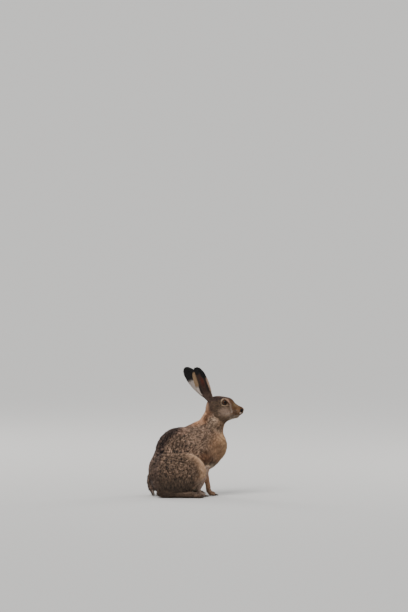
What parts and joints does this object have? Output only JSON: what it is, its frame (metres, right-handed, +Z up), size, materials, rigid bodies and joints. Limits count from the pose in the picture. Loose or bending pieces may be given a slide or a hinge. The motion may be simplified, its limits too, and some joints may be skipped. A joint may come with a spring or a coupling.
{
  "type": "brown hare",
  "caption": "A life-size brown hare sitting upright and alert on its haunches, ears up, as a still museum model.",
  "frame": {"origin": "on the floor, under the middle of the model's bounding box", "axes": "+X forward out of the nose, +Y to the hare's left, +Z up"},
  "size_m": [0.301, 0.1582, 0.4036],
  "materials": {
    "coat": "short speckled fur",
    "pale_coat": "short pale fur",
    "ear": "thin furred skin with a black tip",
    "nose": "dark moist skin",
    "eye": "wet amber iris round a dark pupil",
    "claw": "dark horn"
  },
  "bodies": {
    "root": {"head": "coat", "left_ear": "ear", "left_eye": "eye", "left_fore_claw_1": "claw", "left_fore_claw_2": "claw", "left_fore_claw_3": "claw", "left_fore_claw_4": "claw", "left_fore_paw": "pale_coat", "left_forearm": "pale_coat", "left_hind_claw_1": "claw", "left_hind_claw_2": "claw", "left_hind_claw_3": "claw", "left_hind_claw_4": "claw", "left_hind_foot": "pale_coat", "left_shank": "coat", "left_thigh": "coat", "left_upper_arm": "coat", "lower_jaw": "pale_coat", "neck": "coat", "nose": "nose", "right_ear": "ear", "right_eye": "eye", "right_fore_claw_1": "claw", "right_fore_claw_2": "claw", "right_fore_claw_3": "claw", "right_fore_claw_4": "claw", "right_fore_paw": "pale_coat", "right_forearm": "pale_coat", "right_hind_claw_1": "claw", "right_hind_claw_2": "claw", "right_hind_claw_3": "claw", "right_hind_claw_4": "claw", "right_hind_foot": "pale_coat", "right_shank": "coat", "right_thigh": "coat", "right_upper_arm": "coat", "tail": "coat", "torso": "coat"}
  },
  "joints": []
}
